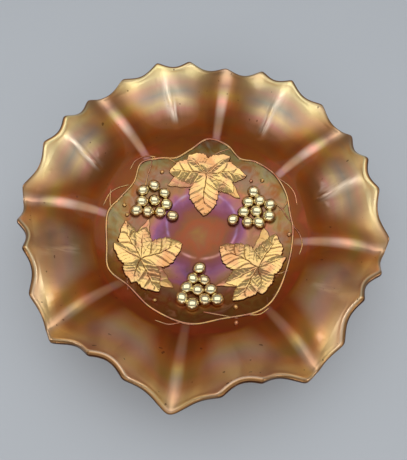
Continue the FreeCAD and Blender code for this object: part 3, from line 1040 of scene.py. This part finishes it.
def around(bench: Bench) -> Wire:
    """Direction from the bowl's axis, level and of length one."""
    level = bench.node("ShaderNodeVectorMath", {"operation": "MULTIPLY"},
                       {0: bench.place(), 1: (1.0, 1.0, 0.0)})
    return bench.node("ShaderNodeVectorMath", {"operation": "NORMALIZE"}, {0: level})


def backward(bench: Bench) -> Wire:
    """0 at the bowl's front, 1 on its back half."""
    return bench.node("ShaderNodeSeparateXYZ", None, {0: around(bench)}, out="Y").ease(-0.95, 0.3)


def streaks(bench: Bench, fineness: float, reach: Wire, stretch: float) -> Wire:
    """Noise drawn out up the wall, as the lustre ran before it dried.

    Args:
        bench: the material's bench.
        fineness: streaks to a radian, about.
        reach: share of the way up the wall.
        stretch: how often a streak changes on its way up.

    Returns:
        A number from 0 to 1.
    """
    direction = around(bench)
    flat = bench.node("ShaderNodeVectorMath", {"operation": "SCALE"},
                      {0: direction, "Scale": fineness})
    lifted = bench.node("ShaderNodeVectorMath", {"operation": "ADD"},
                        {0: flat, 1: bench.combine(0.0, 0.0, reach * stretch)})
    return bench.noise(1.0, 3.0, lifted)


class Zone(Enum):
    """Parts of a ruffle, each with its own run of lustre colours."""

    IN_FOLD = "in fold"
    SIDE = "side"
    OUT_FOLD = "out fold"


# Colours from the floor to the edge, evenly spaced: first at the bowl's back, then at its front.
# The difference between the back and front runs is painted reflection of the room's light over the
# lustre's own colours, and the pale out fold run is a painted highlight down each crease.
LUSTRE_RUNS = {
    Zone.IN_FOLD: ("8b4511 6e4c1b 734a33 ac6f62 ccb87f a8a69a e4b4a0 ffecac",
                   "bb741f c2a667 cdbe9e d9c4bf e4ccc0 efd2bc f4d6b0 f4d8b0"),
    Zone.SIDE: ("7e3c16 8c400a 83511d 8d5029 b16534 b78c3e a98856 be8d68",
                "8e370a 9c490a a25b19 b26d2e ba763b b4863b ca9657 f3cd96"),
    Zone.OUT_FOLD: ("b18372 ad7458 9d805b b19a88 e0998e ba9e66 967a5d c69b80",
                    "9d6345 aa6649 ab7150 b17749 c4965d a58562 ae8c63 ca9d7d"),
}
RUN_START, RUN_STEP, RUN_SPAN = 0.05, 0.14, 1.2
# Root colours at the bowl's back and front; their difference is painted reflection of the room's
# light.
ROOT_TONES = ("7e3b10", "8c380a")


@dataclass(frozen=True)
class LustreWall:
    """Sprayed metallic lustre over amber glass on the wall and edge."""

    name: str
    edge: bool
    outside: tuple[tuple[float, str], ...] = ((0.0, "8a5a2c"), (1.0, "a87a48"))
    # Colour of the painted highlight streaks down the crimp lines.
    streak: str = "fff2dc"
    roughness: float = 0.37

    def _tone(self, zone: Zone, reach: Wire, back: Wire) -> Wire:
        """Colour of one zone, its back run fading into its front run round the bowl: the lustre's
        colour with painted reflection of the room's light, which differs front to back.

        Args:
            zone: the part of a ruffle.
            reach: share of the way up the wall.
            back: 0 at the bowl's front, 1 at its back.

        Returns:
            The colour.
        """
        near, far = ([((RUN_START + RUN_STEP * i) / RUN_SPAN, code)
                      for i, code in enumerate(run.split())]
                     for run in reversed(LUSTRE_RUNS[zone]))
        scaled = reach / RUN_SPAN
        return back.bench.mix(back, scaled.ramp(near), scaled.ramp(far))

    def make(self) -> bpy.types.Material:
        """Mix the zones' colours, break them up and lay painted highlight streaks along the crimp
        lines over them, away from the bowl's front.

        Returns:
            The material.
        """
        bench = Bench(self.name)
        reach = bench.attribute("reach")
        fold = bench.attribute("fold")
        inside = bench.attribute("inside")
        cloud = bench.noise(38.0, 4.0)
        run = streaks(bench, 26.0, reach, 2.2)
        drift = reach + (cloud - 0.5) * 0.1 + (run - 0.5) * 0.05
        back = backward(bench)
        tones = {zone: self._tone(zone, drift, back) for zone in Zone}
        # The in fold's colours start as a narrow tongue at the floor and widen towards the edge.
        lower = reach * -0.4 + 0.55 + (cloud - 0.5) * 0.3
        tongue = ((fold - lower) / (1.0 - lower)).ease(0.0, 1.0)
        tongue = tongue * (reach.ease(0.0, 0.5) * 0.4 + 0.6)
        # Painted shade: the side is darkened towards each out fold's crease.
        side = bench.mix(fold.ease(0.4, 0.12) * 0.4, tones[Zone.SIDE], paint("a87850"), "MULTIPLY")
        colour = bench.mix(tongue, side, tones[Zone.IN_FOLD])
        # Painted highlight: the pale out fold run laid along each crease.
        colour = bench.mix(fold.ease(0.1, 0.01), colour, tones[Zone.OUT_FOLD])
        speck = bench.noise(380.0, 0.0).ease(0.83, 0.85)
        colour = bench.mix(speck * 0.6, colour, paint("4a2208"))
        root = bench.mix(back, *(paint(code) for code in reversed(ROOT_TONES)))
        colour = bench.mix(reach.ease(0.07, 0.0) * fold.ease(0.03, 0.12), colour, root)
        rainbow = film(bench, drift * 2.1 + fold * 0.5 + (cloud - 0.5) * 0.5)
        colour = bench.mix(0.12, colour, rainbow, "SOFT_LIGHT")
        if not self.edge:
            # Painted highlight: pale streaks down the crimp ridges, faded out towards the bowl's
            # front.
            line = bench.attribute("crimp") * back.ease(0.1, 0.4) * run.ease(0.3, 0.62)
            colour = bench.mix(line * reach.ease(0.2, 0.5) * 0.8, colour, paint(self.streak))
        colour = bench.mix(inside, (drift / RUN_SPAN).ramp(self.outside), colour)
        if self.edge:
            nose = bench.attribute("nose")
            # Painted light and shade on the rounded edge: lighter on its upper side, dark brown
            # underneath, over the glass colour.
            bead = bench.mix(inside.ease(0.3, 0.9), paint("4a2810"), paint("946a40"))
            colour = bench.mix(nose.ease(0.35, 0.9), colour, bead)
        rough = self.roughness + (bench.noise(160.0, 3.0) - 0.5) * 0.12
        fine = streaks(bench, 120.0, reach, 5.0)
        relief = bench.bump(fine, 0.05 * MM)
        relief = bench.bump(bench.noise(900.0, 2.0), 0.006 * MM, relief)
        return bench.close(bench.glass(
            Base_Color=colour, Metallic=1.0, Roughness=rough, Normal=relief,
            Coat_Weight=0.1 if self.edge else 0.22, Coat_Roughness=0.08))


@dataclass(frozen=True)
class LustreFloor:
    """Copper, purple and olive lustre on the dished floor."""

    rings: tuple[tuple[float, str], ...] = (
        (0.0, "82522a"), (10.0, "784424"), (15.0, "703e2a"), (20.0, "74382e"), (25.0, "6a3c42"),
        (29.0, "704a60"), (33.0, "885660"), (37.0, "905a40"), (43.0, "84583a"), (52.0, "805428"),
        (62.0, "7c4a18"))
    span: float = 70.0
    arc: tuple[float, float] = (7.5 * MM, 24.0 * MM)
    arc_width: float = 0.9 * MM

    def make(self) -> bpy.types.Material:
        """Run the colours outwards from the middle and change them past the vine.

        Returns:
            The material.
        """
        bench = Bench("floor_lustre")
        spot = bench.place()
        radius = self._distance(bench, spot, 0.0)
        cloud = bench.noise(48.0, 4.0, distortion=0.5)
        blotch = bench.noise(110.0, 4.0, distortion=1.2)
        drift = radius * 1000 + (cloud - 0.5) * 26
        colour = (drift / self.span).ramp([(place / self.span, code)
                                           for place, code in self.rings])
        back = backward(bench)
        # Near the vine the colour goes grey-olive at the back and brown at the front; this
        # front-to-back difference is painted reflection of the room's light.
        olive = bench.mix(back.ease(0.2, 1.0), paint("742e00"), paint("847858"))
        near = radius.ease(0.038, 0.052) * blotch.ease(0.3, 0.62)
        colour = bench.mix(near * 0.7, colour, olive)
        colour = bench.mix(blotch.ease(0.56, 0.74) * radius.ease(0.02, 0.04) * 0.6, colour,
                           paint("a86a4e"))
        outer = bench.mix(back, *(paint(code) for code in reversed(ROOT_TONES)))
        outer = bench.mix(cloud.ease(0.5, 0.8) * 0.35, outer, paint("9a5c34"))
        # Painted highlight: the crease's pale line carried on down past the vine.
        crease = bench.mix(back, *(paint(run.split()[0])
                                   for run in reversed(LUSTRE_RUNS[Zone.OUT_FOLD])))
        line = bench.attribute("fold").ease(0.1, 0.01) * radius.ease(0.054, 0.07)
        outer = bench.mix(line, outer, crease)
        past = bench.attribute("past_vine").ease(-0.3, 1.2)
        colour = bench.mix(past, colour, outer)
        # Painted highlight: a thin pale arc round a point behind the middle, pink at the front and
        # lavender at the back.
        line = (self._distance(bench, spot, self.arc[0]) - self.arc[1]) / self.arc_width
        glow = (line * line * -1.0).math("EXPONENT") * cloud.ease(0.4, 0.62)
        tone = bench.mix(back.ease(0.5, 0.95), paint("e49c98"), paint("a08cb0"))
        colour = bench.mix(glow * radius.ease(0.036, 0.03) * 0.5, colour, tone)
        colour = bench.mix(0.14, colour, film(bench, drift / 21 + cloud), "SOFT_LIGHT")
        colour = bench.mix(bench.attribute("inside"), paint("8a5a2c"), colour)
        rough = past * 0.07 + 0.3 + (bench.noise(210.0, 3.0) - 0.5) * 0.12
        relief = bench.bump(bench.noise(420.0, 3.0), 0.02 * MM)
        return bench.close(bench.glass(
            Base_Color=colour, Metallic=1.0, Roughness=rough, Normal=relief,
            Coat_Weight=0.22, Coat_Roughness=0.08))

    @staticmethod
    def _distance(bench: Bench, spot: Wire, back: float) -> Wire:
        """Level distance from a point on the middle line, in metres."""
        level = bench.node("ShaderNodeVectorMath", {"operation": "MULTIPLY_ADD"},
                           {0: spot, 1: (1.0, 1.0, 0.0), 2: (0.0, -back, 0.0)})
        return bench.node("ShaderNodeVectorMath", {"operation": "LENGTH"}, {0: level}, out="Value")


@dataclass(frozen=True)
class Relief:
    """Lustre on one kind of raised piece."""

    name: str
    light: str
    warm: str
    dark: str
    roughness: float
    metal: float = 0.9
    coat: float = 0.3
    rainbow: float = 0.15
    grain: float = 0.02 * MM
    grain_scale: float = 900.0

    def make(self) -> bpy.types.Material:
        """Mix light and warm gilding, with painted shade where the lit number falls: on the lower
        sides of balls, at the outlines, ribs and veins of leaves and along the sides of raised
        lines.

        Returns:
            The material.
        """
        bench = Bench(self.name)
        cloud = bench.noise(70.0, 3.0, distortion=0.6)
        colour = bench.mix(cloud.ease(0.4, 0.72), paint(self.light), paint(self.warm))
        # Painted shade: the dark colour where the lit number is low.
        colour = bench.mix(bench.attribute("lit").ease(0.85, 0.2), colour, paint(self.dark))
        colour = bench.mix(self.rainbow, colour, film(bench, cloud * 3.0), "SOFT_LIGHT")
        rough = self.roughness + (bench.noise(400.0, 2.0) - 0.5) * 0.1
        relief = bench.bump(bench.noise(self.grain_scale, 3.0), self.grain)
        return bench.close(bench.glass(
            Base_Color=colour, Metallic=self.metal, Roughness=rough, Normal=relief,
            Coat_Weight=self.coat, Coat_Roughness=0.06))


@dataclass(frozen=True)
class PlainAmber:
    """Bare amber glass of the foot, with a little lustre overspray."""

    def make(self) -> bpy.types.Material:
        """Amber with faint clouds and polish marks.

        Returns:
            The material.
        """
        bench = Bench("foot_amber")
        cloud = bench.noise(80.0, 4.0)
        colour = bench.mix(cloud, paint("7a4a1c"), paint("a8743a"))
        rough = 0.18 + (bench.noise(500.0, 3.0) - 0.5) * 0.14
        relief = bench.bump(bench.noise(700.0, 3.0), 0.02 * MM)
        return bench.close(bench.glass(Base_Color=colour, Metallic=0.35, Roughness=rough,
                                       Normal=relief, IOR=1.5, Coat_Weight=0.5))


# ------------------------------------------------------------------ studio


STRIP_SPREAD = math.radians(50)


@dataclass(frozen=True)
class Lamp:
    """Soft rectangular light."""

    name: str
    place: tuple[float, float, float]
    width: float
    height: float
    power: float
    spread: float = math.pi

    def build(self, target: Vector) -> None:
        """Hang the light and aim it.

        Args:
            target: the point that it faces.
        """
        data = bpy.data.lights.new(self.name, "AREA")
        data.shape = "RECTANGLE"
        data.size, data.size_y = self.width, self.height
        data.energy = self.power
        data.spread = self.spread
        lamp = bpy.data.objects.new(self.name, data)
        lamp.location = self.place
        lamp.visible_camera = False
        lamp.rotation_euler = (target - lamp.location).to_track_quat("-Z", "Y").to_euler()
        bpy.context.scene.collection.objects.link(lamp)


@dataclass(frozen=True)
class Studio:
    """Camera, floor, dome and lights."""

    look_height: float = 6.0 * MM
    elevation: float = 1.2031
    distance: float = 289.43 * MM
    lens: float = 33.24
    shift: tuple[float, float] = (0.0042, 0.0130)
    roll: float = 0.0279
    dome: float = 0.5
    lamps: tuple[Lamp, ...] = (
        Lamp("top_panel", (0.0, 0.3, 1.15), 2.0, 1.1, 9.4),
        Lamp("front_panel", (0.0, -1.15, 0.8), 2.0, 0.75, 5.0),
        Lamp("right_strip", (0.99, -0.14, 0.18), 0.12, 0.3, 0.09, STRIP_SPREAD),
        Lamp("left_strip", (-0.98, 0.17, 0.18), 0.12, 0.3, 0.09, STRIP_SPREAD),
        Lamp("front_right_strip", (0.4, -0.92, 0.2), 0.1, 0.25, 0.06, STRIP_SPREAD),
        Lamp("front_left_strip", (-0.67, -0.74, 0.28), 0.1, 0.3, 0.07, STRIP_SPREAD),
    )

    def camera(self) -> None:
        """Set the camera on the front side, looking down into the bowl."""
        data = bpy.data.cameras.new("camera")
        data.sensor_width = 36.0
        data.lens = self.lens
        data.shift_x, data.shift_y = self.shift
        data.clip_start = 0.01
        made = bpy.data.objects.new("camera", data)
        back = Vector((0, -math.cos(self.elevation), math.sin(self.elevation)))
        made.location = Vector((0, 0, self.look_height)) + back * self.distance
        made.rotation_mode = "QUATERNION"
        made.rotation_quaternion = ((-back).to_track_quat("-Z", "Y")
                                    @ Quaternion((0, 0, 1), self.roll))
        bpy.context.scene.collection.objects.link(made)
        bpy.context.scene.camera = made

    def floor(self) -> None:
        """Lay a plain pale floor."""
        bench = Bench("pale_floor")
        tone = bench.mix(bench.noise(3.0, 2.0), paint("b0b4b9"), paint("b4b8bc"))
        finish = bench.close(bench.glass(Base_Color=tone, Roughness=0.6))
        side = 3.0
        corners = [(-side, -side, 0), (side, -side, 0), (side, side, 0), (-side, side, 0)]
        made = mesh_piece("studio_floor", np.array(corners, dtype=float), [(0, 1, 2, 3)])
        made.data.materials.append(finish)

    def world(self) -> None:
        """Even pale dome."""
        world = bpy.data.worlds.new("dome")
        world.use_nodes = True
        back = world.node_tree.nodes["Background"]
        back.inputs["Color"].default_value = paint("dfe3e8")
        back.inputs["Strength"].default_value = self.dome
        bpy.context.scene.world = world
        bpy.context.scene.view_settings.view_transform = "Standard"

    def build(self) -> None:
        """Make everything that isn't the bowl."""
        self.camera()
        self.floor()
        self.world()
        for lamp in self.lamps:
            lamp.build(Vector((0, 0, 0.02)))


# ------------------------------------------------------------------ the bowl

LEAF_TURNS = {"back": 90, "left": 210, "right": 330}
BUNCHES = ("left", "right", "front")
LEAF_LOBES = (Lobe(0, 1.02, 0.76), Lobe(60, 0.84, 0.5, False), Lobe(89, 0.98, 0.56),
              Lobe(-87, 0.9, 0.6), Lobe(126, 0.7, 0.56, False), Lobe(-133, 0.62, 0.58, False))
UNDER_LOBES = (Lobe(58, 1.03, 0.34), Lobe(-68, 0.96, 0.44))

# Lines are points of degrees from the first spoke and shares of the vine's radius.
VINE_WAVE = (
    (2, 0.97), (14, 0.97), (28, 1.01), (42, 1.03), (56, 1.01), (67, 0.965), (78, 1.05), (90, 1.08),
    (101, 0.98), (112, 0.925), (123, 0.98), (135, 1.03), (147, 0.94), (161, 0.96), (175, 1.02),
    (196, 1.01), (210, 1.05), (224, 0.97), (244, 0.99), (266, 1.02), (286, 0.98), (306, 1.05),
    (321, 1.03), (343, 0.97),
)
TWIGS = {
    "leaf_stalk_back": ((91, 0.71), (88, 0.85), (83, 0.95), (75, 1.03)),
    "leaf_stalk_left": ((211, 0.71), (213, 0.84), (219, 0.93), (226, 1.0)),
    "leaf_stalk_right": ((331, 0.71), (328, 0.84), (332, 0.93), (336, 1.0)),
    "bunch_stem_left": ((144, 0.82), (138, 0.88), (131, 0.95), (126, 1.03)),
    "bunch_stem_right": ((25, 0.87), (19, 0.91), (13, 0.93), (5, 0.99)),
    "bunch_stem_front": ((274, 0.88), (281, 0.91), (287, 0.95), (294, 1.02)),
    "tendril_back": ((119, 0.97), (113, 0.86), (115, 0.75), (111, 0.67)),
    "tendril_back_outer": ((124, 1.0), (130, 1.06), (137, 1.08), (143, 1.05)),
    "tendril_left": ((150, 0.95), (157, 1.03), (163, 1.07), (171, 1.08)),
    "tendril_left_outer": ((172, 1.0), (166, 1.04), (160, 1.08)),
    "tendril_right": ((40, 1.03), (31, 1.07), (25, 1.08), (18, 1.06)),
    "tendril_right_inner": ((24, 1.0), (20, 0.94), (19, 0.88)),
    "tendril_right_outer": ((6, 0.97), (0, 1.03), (353, 1.06), (347, 1.05)),
    "tendril_front": ((300, 1.03), (305, 1.08), (311, 1.085)),
    "tendril_front_outer": ((262, 1.02), (256, 1.07), (249, 1.08)),
}


def wreath_makers(wreath: Wreath) -> Iterable[tuple[Balls | Leaf | Runner, bpy.types.Material]]:
    """Every raised piece with the finish it gets.

    Args:
        wreath: the layout that they follow.

    Returns:
        Makers with their materials, in order.
    """
    gilt = Relief("gilt_leaf", "d8b070", "c08c58", "74461c", 0.22, 1.0, rainbow=0.07,
                  grain=0.04 * MM).make()
    rose = Relief("rose_leaflet", "cc9c62", "ba7e5a", "7a4a20", 0.3, rainbow=0.1).make()
    mirror = Relief("mirror_grape", "e6d8ac", "d2be8e", "a8742c", 0.1, 1.0, 0.4, 0.06,
                    0.01 * MM, 500.0).make()
    line = Relief("rose_vine", "c49264", "925e3e", "5a2c10", 0.24, 1.0).make()
    discs = tuple((middle.x, middle.y, 1.05 * radius) for place in BUNCHES
                  for middle, radius in loose_balls(f"grape_bunch_{place}"))
    for i, place in enumerate(BUNCHES):
        yield Balls(f"grape_bunch_{place}", "mirror_grape", 1.16, 0.04, 4, 20 + i), mirror
        yield Balls(f"buds_{place}", "mirror_grape", 1.1, 0.1, 3, 40 + i), rose
    for place, turn in LEAF_TURNS.items():
        yield Leaf(wreath, f"leaf_{place}_glass", f"vine_leaf_{place}", "gilt_leaf", turn,
                   LEAF_LOBES, 1.1 * MM, 1.0 * MM, 1.0, 0.1, discs), gilt
        yield Leaf(wreath, f"leaflets_{place}_glass", f"under_leaves_{place}", "rose_leaflet",
                   turn, UNDER_LOBES, 0.7 * MM, 0.4 * MM, 0.3, 0.0, discs), rose
    yield Runner(wreath, "vine_ring", VINE_WAVE, 1.5 * MM, 1.1 * MM, True), line
    for i, (node, way) in enumerate(TWIGS.items()):
        yield Runner(wreath, node, way, 1.1 * MM, 0.8 * MM, end_width=0.6, seed=60 + i), line


def main() -> None:
    """Build the studio and every piece of the bowl in order."""
    logging.basicConfig(level=logging.INFO, format="%(name)s: %(message)s")
    Studio().build()
    form = GlassForm()
    wreath = Wreath(form)
    vine = smooth_line(np.array([wreath.spoke(*place) for place in VINE_WAVE]), True, LINE_STEP)
    Floor(form, vine).build(LustreFloor().make())
    Foot(form).build(PlainAmber().make())
    Wall(form).build(LustreWall("wall_lustre", False).make())
    Edge(form).build(LustreWall("edge_lustre", True).make())
    for maker, finish in wreath_makers(wreath):
        maker.build(finish)


if __name__ == "__main__":
    main()
